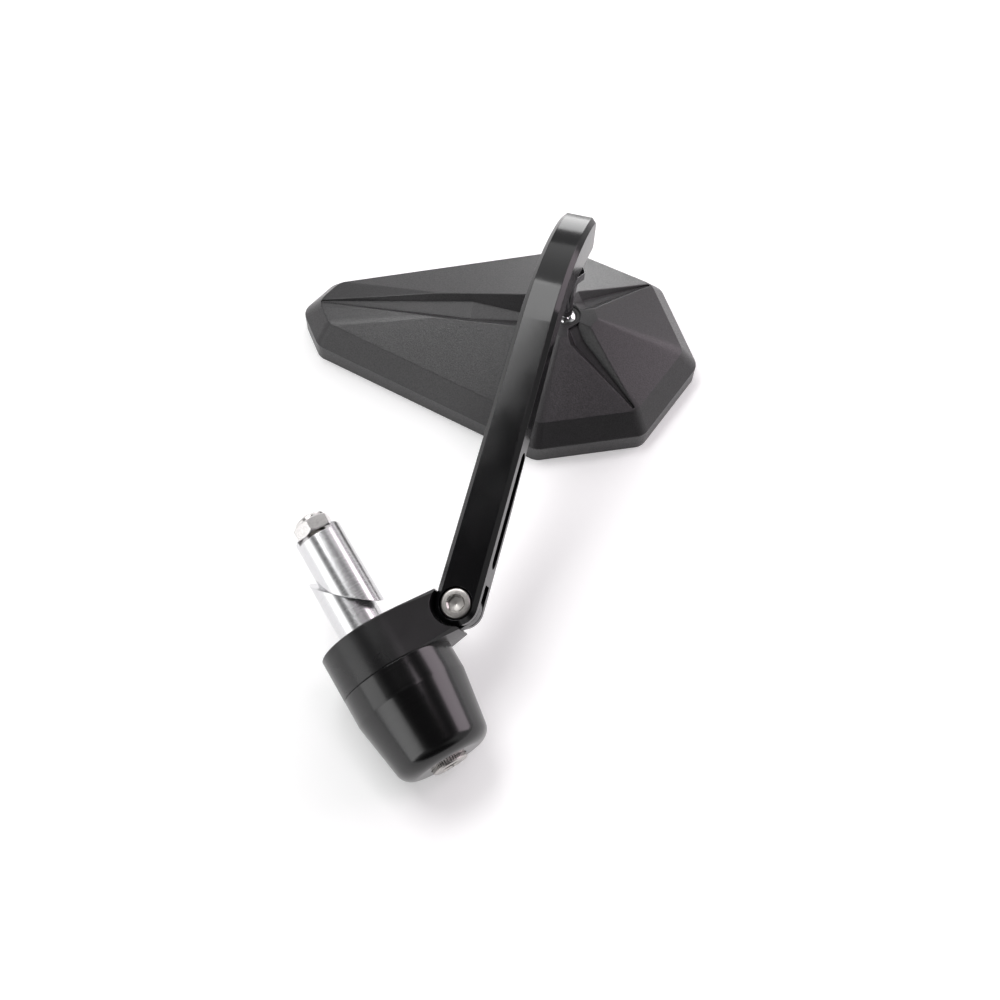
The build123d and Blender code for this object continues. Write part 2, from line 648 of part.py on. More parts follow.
with BuildPart() as mirror_housing:
    with BuildSketch(head) as rim_sketch:
        Polygon(*inset(0), align=None)
        fillet(rim_sketch.vertices(), radius=corner_radius)
    extrude(amount=rim_height)
    with BuildSketch(head.offset(rim_height)) as bevel_low:
        Polygon(*inset(0), align=None)
        fillet(bevel_low.vertices(), radius=corner_radius)
    with BuildSketch(head.offset(bevel_top)) as bevel_high:
        Polygon(*inset(bevel_width), align=None)
        fillet(bevel_high.vertices(), radius=corner_radius)
    loft(ruled=True)
    with BuildSketch(head.offset(bevel_top)) as facet_low:
        Polygon(*inset(bevel_width), align=None)
        fillet(facet_low.vertices(), radius=corner_radius)
    with BuildSketch(head.offset(hub_height)) as facet_high:
        Polygon(*drawn_in(bevel_width, hub_share), align=None)
        fillet(facet_high.vertices(), radius=corner_radius * hub_share)
    loft(ruled=True)
    # The three channels, each with its floor rising to the hub's hole
    mouth_height = hub_height - channel_mouth_drop
    with BuildSketch(channel_plane(180, channel_mouth)):
        Polygon(*channel_corners(long_start_floor, mouth_height, long_start_flare), align=None)
    with BuildSketch(channel_plane(180, channel_start)):
        Polygon(*channel_corners(long_start_floor, long_start_height, long_start_flare), align=None)
    with BuildSketch(channel_plane(180, long_channel_kink)):
        Polygon(*channel_corners(long_kink_floor, long_kink_height, long_kink_flare), align=None)
    with BuildSketch(channel_plane(180, long_channel_end)):
        Polygon(*channel_corners(long_end_floor, long_end_height, end_flare), align=None)
    loft(ruled=True, mode=Mode.SUBTRACT)
    for turn, shift in ((heel_turn, -short_start_shift), (-heel_turn, short_start_shift)):
        with BuildSketch(channel_plane(turn, channel_mouth)):
            Polygon(*channel_corners(short_start_floor, mouth_height, short_start_flare, shift / 2), align=None)
        with BuildSketch(channel_plane(turn, channel_start)):
            Polygon(*channel_corners(short_start_floor, short_start_height, short_start_flare, shift), align=None)
        with BuildSketch(channel_plane(turn, short_channel_end)):
            Polygon(*channel_corners(short_end_floor, short_end_height, end_flare), align=None)
        loft(ruled=True, mode=Mode.SUBTRACT)
    # The glass pocket and the cavity behind it
    with BuildSketch(head) as pocket_sketch:
        Polygon(*inset(pocket_inset), align=None)
        fillet(pocket_sketch.vertices(), radius=inner_corner_radius)
    extrude(amount=ledge_height, mode=Mode.SUBTRACT)
    with BuildSketch(head.offset(ledge_height)):
        Polygon(*inset(cavity_inset), align=None)
    extrude(amount=cavity_wall_height - ledge_height, mode=Mode.SUBTRACT)
    with BuildSketch(head.offset(cavity_wall_height)):
        Polygon(*inset(cavity_inset), align=None)
    with BuildSketch(head.offset(boss_bottom)):
        Polygon(*drawn_in(cavity_inset, cavity_share), align=None)
    loft(ruled=True, mode=Mode.SUBTRACT)
    with BuildSketch(head.offset(cavity_wall_height)):
        with Locations((hub_along, 0)):
            Circle(plate_radius + hole_gap)
    extrude(amount=boss_bottom - cavity_wall_height, mode=Mode.SUBTRACT)
    # The socket, open below for the seat, with a chamfered hole for the stud
    with Locations(ball_point):
        Sphere(socket_radius, mode=Mode.SUBTRACT)
    with BuildSketch(head.offset(ball_height)):
        with Locations((hub_along, 0)):
            Circle(socket_radius)
    extrude(amount=boss_bottom - ball_height, mode=Mode.SUBTRACT)
    hub_hole_radius = sqrt(socket_radius**2 - hub_over_ball**2)
    with BuildSketch(head.offset(hub_height)):
        with Locations((hub_along, 0)):
            Circle(hub_hole_radius + hub_hole_chamfer)
    with BuildSketch(head.offset(hub_height - hub_hole_chamfer)):
        with Locations((hub_along, 0)):
            Circle(hub_hole_radius)
    loft(mode=Mode.SUBTRACT)
    with BuildSketch(head.offset(boss_bottom)):
        with Locations((hub_along, 0)):
            with PolarLocations(plate_screw_circle, plate_screw_count):
                Circle(plate_screw_radius + slide_gap)
    extrude(amount=plate_screw_tip + hole_gap - boss_bottom, mode=Mode.SUBTRACT)
mirror_housing.part.label = "mirror_housing"
export_step(mirror_housing.part, "parts/mirror_housing.step")

# The pressure plate with its dished plug, three screws and their spring washers
with BuildPart() as pressure_plate:
    with BuildSketch(head.offset(plate_bottom)):
        with Locations((hub_along, 0)):
            Circle(plate_radius)
            with PolarLocations(plate_screw_circle, plate_screw_count):
                Circle(plate_screw_radius + hole_gap, mode=Mode.SUBTRACT)
    extrude(amount=plate_thickness)
    with BuildSketch(head.offset(plate_bottom)):
        with Locations((hub_along, 0)):
            Circle(seat_radius)
    extrude(amount=ball_height - plate_plug_drop - plate_bottom)
    with Locations(ball_point):
        Sphere(socket_radius, mode=Mode.SUBTRACT)
pressure_plate.part.label = "pressure_plate"
export_step(pressure_plate.part, "parts/pressure_plate.step")

with BuildPart() as plate_screws:
    with BuildSketch(head.offset(screw_head_top)):
        with Locations((hub_along, 0)):
            with PolarLocations(plate_screw_circle, plate_screw_count):
                Circle(plate_screw_head_radius)
    extrude(amount=-plate_screw_head_height)
    with BuildSketch(head.offset(screw_head_top)):
        with Locations((hub_along, 0)):
            with PolarLocations(plate_screw_circle, plate_screw_count):
                Circle(plate_screw_radius)
    extrude(amount=plate_screw_tip - screw_head_top)
    with BuildSketch(head.offset(screw_head_top - plate_screw_head_height)):
        with Locations((hub_along, 0)):
            with PolarLocations(plate_screw_circle, plate_screw_count):
                RegularPolygon(plate_screw_socket_flats / 2, 6, major_radius=False)
    extrude(amount=plate_screw_socket_depth, mode=Mode.SUBTRACT)
plate_screws.part.label = "plate_screws"
export_step(plate_screws.part, "parts/plate_screws.step")

with BuildPart() as spring_washers:
    with BuildSketch(head.offset(screw_head_top)):
        with Locations((hub_along, 0)):
            with PolarLocations(plate_screw_circle, plate_screw_count):
                Circle(spring_washer_radius)
                Circle(plate_screw_radius + hole_gap, mode=Mode.SUBTRACT)
                with Locations((spring_washer_radius, 0)):
                    Rectangle(spring_washer_radius, spring_washer_slit, mode=Mode.SUBTRACT)
    extrude(amount=spring_washer_thickness)
spring_washers.part.label = "spring_washers"
export_step(spring_washers.part, "parts/spring_washers.step")

# The glass and the adhesive frame behind it
with BuildPart() as glass_tape:
    with BuildSketch(head.offset(glass_sunk + glass_thickness)):
        Polygon(*inset(pocket_inset + 2 * glass_gap), align=None)
        Polygon(*inset(pocket_inset + 2 * glass_gap + tape_width), align=None, mode=Mode.SUBTRACT)
    extrude(amount=tape_thickness)
glass_tape.part.label = "glass_tape"
export_step(glass_tape.part, "parts/glass_tape.step")

with BuildPart() as mirror_glass:
    with BuildSketch(head.offset(glass_sunk)) as glass_sketch:
        Polygon(*inset(pocket_inset + glass_gap), align=None)
        fillet(glass_sketch.vertices(), radius=inner_corner_radius)
    extrude(amount=glass_thickness)
mirror_glass.part.label = "mirror_glass"
export_step(mirror_glass.part, "parts/mirror_glass.step")
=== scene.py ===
"""Looks of a motorcycle bar end mirror: finishes for its solids, two cut screws and a studio."""

import enum
import json
import logging
import math
from dataclasses import dataclass
from typing import Any

import bpy
import numpy as np
from mathutils import Matrix, Vector


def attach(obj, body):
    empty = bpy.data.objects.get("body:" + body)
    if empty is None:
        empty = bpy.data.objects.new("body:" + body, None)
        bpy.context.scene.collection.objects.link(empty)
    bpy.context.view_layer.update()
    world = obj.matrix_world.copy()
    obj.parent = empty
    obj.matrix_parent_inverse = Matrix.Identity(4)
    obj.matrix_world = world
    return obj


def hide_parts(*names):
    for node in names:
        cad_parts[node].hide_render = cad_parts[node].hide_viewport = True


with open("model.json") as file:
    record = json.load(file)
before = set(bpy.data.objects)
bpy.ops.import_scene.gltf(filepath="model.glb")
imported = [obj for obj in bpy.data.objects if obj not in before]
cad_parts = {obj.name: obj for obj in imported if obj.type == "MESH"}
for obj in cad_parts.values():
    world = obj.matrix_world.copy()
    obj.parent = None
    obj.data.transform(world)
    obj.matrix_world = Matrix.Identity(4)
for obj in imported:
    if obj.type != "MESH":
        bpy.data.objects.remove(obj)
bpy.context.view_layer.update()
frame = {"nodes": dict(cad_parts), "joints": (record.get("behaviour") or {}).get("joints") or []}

LOG = logging.getLogger("bar_end_mirror")
MM = 0.001

Socket = bpy.types.NodeSocket
Pair = tuple[float, float]
Triple = tuple[float, float, float]

# Where most of a noise texture's values lie
NOISE_WINDOW: Pair = (0.3, 0.7)


class Hue(enum.Enum):
    """Colours of the finishes, the bench and the lamps, as linear red, green and blue."""

    COAT_DARK = (0.004, 0.0037, 0.0042)
    COAT_LIGHT = (0.027, 0.025, 0.0275)
    BLASTED = (0.007, 0.0068, 0.0075)
    ANODISED = (0.003, 0.003, 0.0034)
    ANODISED_LIGHT = (0.0055, 0.0054, 0.006)
    TURNED_BLACK = (0.001, 0.0009, 0.0011)
    RING_BLACK = (0.0035, 0.0034, 0.0038)
    BRIGHT_ALUMINIUM = (0.78, 0.78, 0.79)
    DULL_ALUMINIUM = (0.6, 0.6, 0.61)
    STAINLESS = (0.52, 0.5, 0.48)
    ZINC = (0.76, 0.74, 0.73)
    CHROME = (0.82, 0.82, 0.83)
    NYLON_BLACK = (0.012, 0.012, 0.012)
    NYLON_PALE = (0.62, 0.6, 0.54)
    SILVERED = (0.9, 0.91, 0.92)
    FLOOR = (0.87, 0.87, 0.87)
    WHITE = (1.0, 1.0, 1.0)
    ROSE = (1.0, 0.86, 0.95)
    PALE_ROSE = (1.0, 0.9, 0.97)

    def rgba(self, share: float = 1.0) -> tuple[float, float, float, float]:
        """The colour, dimmed to a share of itself, as a shader's socket takes it."""
        return (*(share * channel for channel in self.value), 1.0)


class Fade(enum.Enum):
    """How a value passes from one end of a range to the other."""

    LINEAR = "LINEAR"
    SMOOTH = "SMOOTHSTEP"


class Blend(enum.Enum):
    """What a Mix node mixes, and the places of its two inputs and its output."""

    COLOUR = ("RGBA", 6, 7, 2)
    NUMBER = ("FLOAT", 2, 3, 0)


class Cut(enum.IntEnum):
    """What is cut into a screw at one station of its profile."""

    PLAIN = 0
    THREAD = 1
    KNURL = 2
    HEX = 3


@dataclass(frozen=True)
class AxisLine:
    """An axis in the row frame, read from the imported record.

    Its own z runs along the axis, and x points to a side.
    """

    origin: Vector
    along: Vector
    side: Vector

    @classmethod
    def from_joint(cls, name: str, towards: str, flip: bool = False) -> "AxisLine":
        """Read an axis from one joint and its side from the place of another.

        Args:
            name: Joint whose axis is read.
            towards: Joint that the side points to.
            flip: Whether the line runs against the joint's axis.

        Returns:
            The line, with its side square to it.
        """
        joints = {joint["name"]: joint for joint in frame["joints"]}
        along = Vector(joints[name]["axis"]).normalized() * (-1.0 if flip else 1.0)
        origin = Vector(joints[name]["pos_m"])
        reach = Vector(joints[towards]["pos_m"]) - origin
        side = (reach - along * reach.dot(along)).normalized()
        return cls(origin, along, side)

    def matrix(self) -> np.ndarray:
        """Rows of the line's own x, y and z directions in the row frame."""
        return np.array([self.side, self.along.cross(self.side), self.along])

    def place(self, points: np.ndarray) -> np.ndarray:
        """Carry rows of x, y, z from the line's own frame into the row frame, in metres."""
        return points @ self.matrix() + np.array(self.origin)

    def euler(self) -> Triple:
        """Turn that lays the row frame's coordinates along the line, for a Mapping node."""
        angles = Matrix(self.matrix().tolist()).to_euler("XYZ")
        return (angles.x, angles.y, angles.z)


class NodeSheet:
    """A node tree with short ways to add and join nodes."""

    def __init__(self, owner: bpy.types.Material | bpy.types.World) -> None:
        """Empty the node tree of a material or a world.

        Args:
            owner: Material or world.
        """
        owner.use_nodes = True
        self.tree = owner.node_tree
        self.tree.nodes.clear()

    def feed(self, target: Socket, value: Any) -> None:
        """Link an output to an input, or set the input to a plain value.

        Args:
            target: Input socket.
            value: Output socket, number, vector or colour.
        """
        if isinstance(value, Socket):
            self.tree.links.new(value, target)
        else:
            target.default_value = value

    def add(self, kind: str, **values: Any) -> bpy.types.Node:
        """Add a node, and set its properties or feed its inputs by name.

        Args:
            kind: Node type, without the common prefix.
            values: Property names, or socket names with underscores for spaces.

        Returns:
            The new node.
        """
        node = self.tree.nodes.new("ShaderNode" + kind)
        for key, value in values.items():
            if hasattr(node, key):
                setattr(node, key, value)
            else:
                self.feed(node.inputs[key.replace("_", " ")], value)
        return node

    def reckon(self, operation: str, *terms: Socket | float) -> Socket:
        """Put sockets and plain numbers through a Math node.

        Args:
            operation: Name of the node's operation.
            terms: Its inputs, in order.

        Returns:
            The result.
        """
        node = self.add("Math", operation=operation)
        for target, term in zip(node.inputs, terms):
            self.feed(target, term)
        return node.outputs[0]

    def reach(self, vector: Socket, direction: Triple) -> Socket:
        """How far a vector reaches along a direction.

        Args:
            vector: Vector socket.
            direction: Direction of any length.

        Returns:
            The grey value.
        """
        node = self.add("VectorMath", operation="DOT_PRODUCT", Vector=vector)
        node.inputs[1].default_value = Vector(direction).normalized()
        return node.outputs["Value"]

    def spread(
        self, value: Socket, window: Pair, result: Pair = (0.0, 1.0), fade: Fade = Fade.LINEAR
    ) -> Socket:
        """Carry a grey value from one range to another, clamped.

        Args:
            value: Grey value.
            window: Range that it comes from.
            result: Range that it goes to.
            fade: How it passes between the ends.

        Returns:
            The carried value.
        """
        node = self.add(
            "MapRange",
            clamp=True,
            interpolation_type=fade.value,
            Value=value,
            From_Min=window[0],
            From_Max=window[1],
            To_Min=result[0],
            To_Max=result[1],
        )
        return node.outputs["Result"]

    def mix(self, share: Socket, first: Any, second: Any, blend: Blend = Blend.COLOUR) -> Socket:
        """Go from one colour or number to another by a grey value.

        Args:
            share: Grey value, at which 0 is the first and 1 the second.
            first: Socket or plain value.
            second: Socket or plain value.
            blend: What is mixed.

        Returns:
            The mixed value.
        """
        kind, first_input, second_input, output = blend.value
        node = self.add("Mix", data_type=kind)
        self.feed(node.inputs[0], share)
        self.feed(node.inputs[first_input], first)
        self.feed(node.inputs[second_input], second)
        return node.outputs[output]


class FinishSheet(NodeSheet):
    """A material's node tree around one Principled shader."""

    CREASE_SAMPLES = 8
    CREASE_WINDOW: Pair = (0.72, 0.95)
    EDGE_SAMPLES = 6

    def __init__(self, name: str) -> None:
        """Start a new material with a shader and an output.

        Args:
            name: Name of the material.
        """
        self.material = bpy.data.materials.new(name)
        super().__init__(self.material)
        self.shader = self.add("BsdfPrincipled")
        self.add("OutputMaterial", Surface=self.shader.outputs["BSDF"])

    def drive(self, name: str, value: Any) -> None:
        """Feed one of the shader's inputs by its name."""
        self.feed(self.shader.inputs[name], value)

    def coords(
        self,
        scale: Triple = (1.0, 1.0, 1.0),
        turn: Triple = (0.0, 0.0, 0.0),
        centre: Triple = (0.0, 0.0, 0.0),
    ) -> Socket:
        """Object coordinates, moved to a centre, turned and then scaled.

        Args:
            scale: Stretch along the turned axes.
            turn: Euler turn in radians.
            centre: Point in the row frame that becomes the origin.

        Returns:
            The vector socket.
        """
        place = self.add("TexCoord").outputs["Object"]
        away = tuple(-c for c in centre)
        shift = self.add("Mapping", Vector=place, Location=away)
        spin = self.add("Mapping", Vector=shift.outputs["Vector"], Rotation=turn)
        size = self.add("Mapping", Vector=spin.outputs["Vector"], Scale=scale)
        return size.outputs["Vector"]

    def noise(self, vector: Socket, scale: float, detail: float, rough: float) -> Socket:
        """A noise texture's grey value.

        Args:
            vector: Coordinates that it lies on.
            scale: Features per metre.
            detail: Number of finer layers.
            rough: Share of the finer layers.

        Returns:
            The grey value.
        """
        node = self.add("TexNoise", Vector=vector, Scale=scale, Detail=detail, Roughness=rough)
        return node.outputs["Fac"]

    def crease_shade(self, reach: float) -> Socket:
        """A grey value that falls to 0 where the surface folds inwards, and is 1 elsewhere; it
        masks painted shade in the folds.

        Args:
            reach: How far from the fold it falls, in metres.

        Returns:
            The grey value.
        """
        # Ambient occlusion finds the folds that get painted shade.
        shut = self.add(
            "AmbientOcclusion", samples=self.CREASE_SAMPLES, only_local=True, Distance=reach
        )
        return self.spread(shut.outputs["AO"], self.CREASE_WINDOW)

    def relief(self, height: Socket, strength: float, distance: float, edge: float) -> None:
        """Drive the shader's normal from a height over softened edges.

        Args:
            height: Grey height.
            strength: Bump strength.
            distance: Height that white stands for, in metres.
            edge: Radius of the softened edges in metres, or 0 for none.
        """
        bump = self.add("Bump", Strength=strength, Distance=distance, Height=height)
        if edge > 0:
            rounded = self.add("Bevel", samples=self.EDGE_SAMPLES, Radius=edge)
            self.feed(bump.inputs["Normal"], rounded.outputs["Normal"])
        self.drive("Normal", bump.outputs["Normal"])


@dataclass(frozen=True)
class CoatFinish:
    """Powder coat: grains of two dark greys with a bump, and painted shade in folds: darker there
    and without sheen.
    """

    name: str
    dark: Hue
    light: Hue
    grain: float = 0.42 * MM
    grain_share: float = 0.85
    grain_window: Pair = (0.3, 0.72)
    clouds_per_metre: float = 60.0
    cloud_share: float = 0.15
    roughness: float = 0.37
    duller: float = 0.08
    glossier: float = 0.1
    gloss_window: Pair = (0.3, 0.75)
    specular: float = 0.6
    bump: float = 0.65
    height: float = 0.06 * MM
    edge: float = 0.5 * MM
    # Reach of the painted shade in folds, and how dark it paints the coat there.
    fold: float = 1.2 * MM
    crease_shade_tone: float = 0.3

    def material(self) -> bpy.types.Material:
        """Make the coat from two noises, one for the grains and one for cloudy unevenness, and
        paint shade into its folds.

        Returns:
            The material.
        """
        sheet = FinishSheet(self.name)
        place = sheet.coords()
        grains = sheet.noise(place, 1.0 / self.grain, detail=2.0, rough=0.7)
        clouds = sheet.noise(place, self.clouds_per_metre, detail=2.0, rough=0.5)
        tone = sheet.reckon(
            "ADD",
            sheet.spread(grains, self.grain_window, (0.0, self.grain_share)),
            sheet.spread(clouds, NOISE_WINDOW, (0.0, self.cloud_share)),
        )
        # Painted shade: where ambient occlusion finds a fold, the colour darkens and the sheen is
        # taken out.
        unshaded = sheet.crease_shade(self.fold)
        coat = sheet.mix(tone, self.dark.rgba(), self.light.rgba())
        sheet.drive("Base Color", sheet.mix(unshaded, self.dark.rgba(self.crease_shade_tone), coat))
        sheen = sheet.spread(unshaded, (0.0, 1.0), (0.0, self.specular))
        sheet.drive("Specular IOR Level", sheen)
        gloss = (self.roughness + self.duller, self.roughness - self.glossier)
        sheet.drive("Roughness", sheet.spread(grains, self.gloss_window, gloss))
        sheet.relief(grains, self.bump, self.height, self.edge)
        return sheet.material


@dataclass(frozen=True)
class SatinFinish:
    """Anodised, blasted or moulded surface: a satin sheen with a faint grain and smears."""

    name: str
    dark: Hue
    light: Hue
    grain: float = 0.3 * MM
    smears_per_metre: float = 45.0
    roughness: float = 0.3
    duller: float = 0.05
    glossier: float = 0.04
    specular: float = 0.5
    bump: float = 0.08
    height: float = 0.03 * MM
    edge: float = 0.25 * MM

    def material(self) -> bpy.types.Material:
        """Make the satin from a fine grain in tone and height, and smears in gloss.

        Returns:
            The material.
        """
        sheet = FinishSheet(self.name)
        place = sheet.coords()
        grains = sheet.noise(place, 1.0 / self.grain, detail=2.0, rough=0.6)
        smears = sheet.noise(place, self.smears_per_metre, detail=3.0, rough=0.55)
        tone = sheet.spread(grains, NOISE_WINDOW)
        sheet.drive("Base Color", sheet.mix(tone, self.dark.rgba(), self.light.rgba()))
        gloss = (self.roughness - self.glossier, self.roughness + self.duller)
        sheet.drive("Roughness", sheet.spread(smears, NOISE_WINDOW, gloss))
        sheet.drive("Specular IOR Level", self.specular)
        sheet.relief(grains, self.bump, self.height, self.edge)
        return sheet.material


@dataclass(frozen=True)
class TurnedFinish:
    """Lathe-turned surface: fine rings around the bar's axis in height, tone and gloss."""

    name: str
    dark: Hue
    light: Hue
    line: AxisLine
    ring: float = 0.12 * MM
    across_per_metre: float = 6.0
    specks_per_metre: float = 5200.0
    speck_share: float = 0.35
    roughness: float = 0.25
    duller: float = 0.07
    glossier: float = 0.05
    metallic: float = 1.0
    specular: float = 0.5
    bump: float = 0.1
    height: float = 0.02 * MM
    edge: float = 0.2 * MM

    def material(self) -> bpy.types.Material:
        """Make the rings from a noise squeezed along the axis and drawn out across it.

        Returns:
            The material.
        """
        sheet = FinishSheet(self.name)
        squeeze = (self.across_per_metre, self.across_per_metre, 1.0 / self.ring)
        place = sheet.coords(squeeze, self.line.euler(), tuple(self.line.origin))
        rings = sheet.noise(place, 1.0, detail=2.0, rough=0.65)
        specks = sheet.noise(sheet.coords(), self.specks_per_metre, detail=1.0, rough=0.5)
        tone = sheet.spread(rings, NOISE_WINDOW)
        sheet.drive("Base Color", sheet.mix(tone, self.dark.rgba(), self.light.rgba()))
        gloss = (self.roughness - self.glossier, self.roughness + self.duller)
        sheet.drive("Roughness", sheet.spread(rings, NOISE_WINDOW, gloss))
        sheet.drive("Metallic", self.metallic)
        sheet.drive("Specular IOR Level", self.specular)
        ridges = sheet.reckon("MULTIPLY_ADD", specks, self.speck_share, rings)
        sheet.relief(ridges, self.bump, self.height, self.edge)
        return sheet.material


@dataclass(frozen=True)
class MetalFinish:
    """Bare, plated or silvered metal: a plain tone with soft scuffs."""

    name: str
    tone: Hue
    roughness: float = 0.28
    scuff: float = 0.12
    worn: float = 0.86
    worn_window: Pair = (0.35, 0.7)
    grain: float = 0.5 * MM
    bump: float = 0.06
    height: float = 0.02 * MM
    edge: float = 0.15 * MM

    def material(self) -> bpy.types.Material:
        """Make the metal from one scuff noise in tone, gloss and height.

        Returns:
            The material.
        """
        sheet = FinishSheet(self.name)
        scuffs = sheet.noise(sheet.coords(), 1.0 / self.grain, detail=3.0, rough=0.6)
        tone = sheet.spread(scuffs, self.worn_window)
        sheet.drive("Base Color", sheet.mix(tone, self.tone.rgba(self.worn), self.tone.rgba()))
        gloss = (self.roughness - self.scuff / 2, self.roughness + self.scuff / 2)
        sheet.drive("Roughness", sheet.spread(scuffs, NOISE_WINDOW, gloss))
        sheet.drive("Metallic", 1.0)
        sheet.relief(scuffs, self.bump, self.height, self.edge)
        return sheet.material


Finish = CoatFinish | SatinFinish | TurnedFinish | MetalFinish


def shaped(name: str, points: np.ndarray, faces: np.ndarray, smooth: bool) -> bpy.types.Object:
    """Put a worked-out surface into a new object at the origin.

    Args:
        name: Object and mesh name.
        points: Rows of x, y, z in the row frame, in metres.
        faces: Rows of four vertex numbers.
        smooth: Whether the faces are shaded smooth.

    Returns:
        The object, linked to the scene.
    """
    mesh = bpy.data.meshes.new(name)
    mesh.from_pydata(points.tolist(), [], faces.tolist())
    mesh.polygons.foreach_set("use_smooth", np.full(len(faces), smooth))
    mesh.update()
    made = bpy.data.objects.new(name, mesh)
    bpy.context.scene.collection.objects.link(made)
    return made


def ring_faces(stations: int, around: int) -> np.ndarray:
    """Quads of a grid that closes on itself around, station after station.

    Args:
        stations: Number of rings.
        around: Number of points on each ring.

    Returns:
        Rows of four vertex numbers.
    """
    ring, turn = np.meshgrid(np.arange(stations - 1), np.arange(around), indexing="ij")
    after = (turn + 1) % around
    corners = [ring * around + turn, ring * around + after]
    corners += [(ring + 1) * around + after, (ring + 1) * around + turn]
    return np.stack(corners, axis=-1).reshape(-1, 4)


@dataclass
class CapScrew:
    """A cap screw: knurled head, hex socket with a bevelled mouth, and a cut thread at its tip.

    Heights are along the line, from the tip down to the head's top, which lies lowest.
    """

    name: str
    body: str
    node: str
    slot: str
    line: AxisLine
    head_seat: float
    tip: float
    shank_radius: float
    head_radius: float
    head_height: float
    head_edge: float
    socket_flats: float
    socket_depth: float
    thread_start: float
    pitch: float
    tip_chamfer: float = 0.5 * MM
    thread_share: float = 0.55
    thread_stations: int = 11
    run_out: float = 0.4 * MM
    seat_chamfer: float = 0.2 * MM
    knurl_depth: float = 0.18 * MM
    knurl_count: int = 44
    knurl_from_seat: float = 0.4 * MM
    knurl_from_edge: float = 0.3 * MM
    knurl_stations: int = 6
    edge_stations: int = 7
    mouth_share: float = 1.25
    mouth_lip: float = 0.15 * MM
    mouth_depth: float = 0.4 * MM
    floor_share: float = 0.8
    floor_dip: float = 0.2 * MM
    sharp_degrees: float = 35.0
    around: int = 264

    def profile(self) -> tuple[np.ndarray, np.ndarray, np.ndarray]:
        """Stations from the tip's centre over the shank and the head to the socket's floor.

        Returns:
            Height, radius and cut of each station.
        """
        start = self.tip - self.tip_chamfer
        turns = (start - self.thread_start) / self.pitch
        thread = np.linspace(start, self.thread_start, int(self.thread_stations * turns))
        seat = self.head_seat
        top = seat - self.head_height
        knurl = np.linspace(
            seat - self.knurl_from_seat,
            top + self.head_edge + self.knurl_from_edge,
            self.knurl_stations,
        )
        turn = np.linspace(0.0, math.pi / 2, self.edge_stations)
        edge_height = top + self.head_edge * (1 - np.sin(turn))
        edge_radius = self.head_radius - self.head_edge * (1 - np.cos(turn))
        shank, head, flat = self.shank_radius, self.head_radius, self.socket_flats / 2
        mouth = flat * self.mouth_share
        floor = top + self.socket_depth
        rows = [
            ([self.tip, self.tip], [0.0, shank - self.tip_chamfer], Cut.PLAIN),
            (thread, np.full(thread.shape, shank), Cut.THREAD),
            ([self.thread_start - self.run_out, seat], [shank, shank], Cut.PLAIN),
            ([seat, seat - self.seat_chamfer], [head - self.seat_chamfer, head], Cut.PLAIN),
            (knurl, np.full(knurl.shape, head), Cut.KNURL),
            (edge_height, edge_radius, Cut.PLAIN),
            ([top, top], [mouth + self.mouth_lip, mouth], Cut.PLAIN),
            ([top + self.mouth_depth, floor], [flat, flat], Cut.HEX),
            ([floor, floor + self.floor_dip], [flat * self.floor_share, 0.0], Cut.PLAIN),
        ]
        heights, radii, _ = zip(*rows)
        cuts = [np.full(len(height), cut) for height, _, cut in rows]
        return np.concatenate(heights), np.concatenate(radii), np.concatenate(cuts)

    def surface(self) -> np.ndarray:
        """Sweep the profile round the axis.

        The thread's radius falls by a triangle wave of height minus turn times pitch. The
        knurl's falls by a triangle wave of turn alone. The socket's is half its flats over the
        cosine of the turn from the nearest flat.

        Returns:
            Points in the line's frame, ring after ring.
        """
        height, radius, cut = self.profile()
        turn = np.linspace(0.0, 2 * math.pi, self.around, endpoint=False)
        z, t = np.meshgrid(height, turn, indexing="ij")
        r = np.repeat(radius[:, None], self.around, axis=1)
        c = np.repeat(cut[:, None], self.around, axis=1)
        wave = np.abs(((z / self.pitch - t / (2 * math.pi)) % 1.0) * 2 - 1)
        fade = np.clip((z - self.thread_start) / self.pitch, 0.0, 1.0)
        r = np.where(c == Cut.THREAD, r - self.thread_share * self.pitch * wave * fade, r)
        ridge = np.abs(((t * self.knurl_count / (2 * math.pi)) % 1.0) * 2 - 1)
        r = np.where(c == Cut.KNURL, r - self.knurl_depth * ridge, r)
        flat = (t + math.pi / 6) % (math.pi / 3) - math.pi / 6
        r = np.where(c == Cut.HEX, r / np.cos(flat), r)
        return np.stack([r * np.cos(t), r * np.sin(t), z], axis=-1).reshape(-1, 3)

    def build(self, finish: bpy.types.Material) -> None:
        """Make the screw, let it stand for the plain solid and ride on its body.

        Args:
            finish: The screw's material.
        """
        points = self.surface()
        faces = ring_faces(len(points) // self.around, self.around)[:, ::-1]
        made = shaped(self.name, self.line.place(points), faces, smooth=True)
        made.data.set_sharp_from_angle(angle=math.radians(self.sharp_degrees))
        made.data.materials.append(finish)
        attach(made, self.body)
        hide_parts(self.node)
        LOG.info("made %s with %d faces", made.name, len(made.data.polygons))


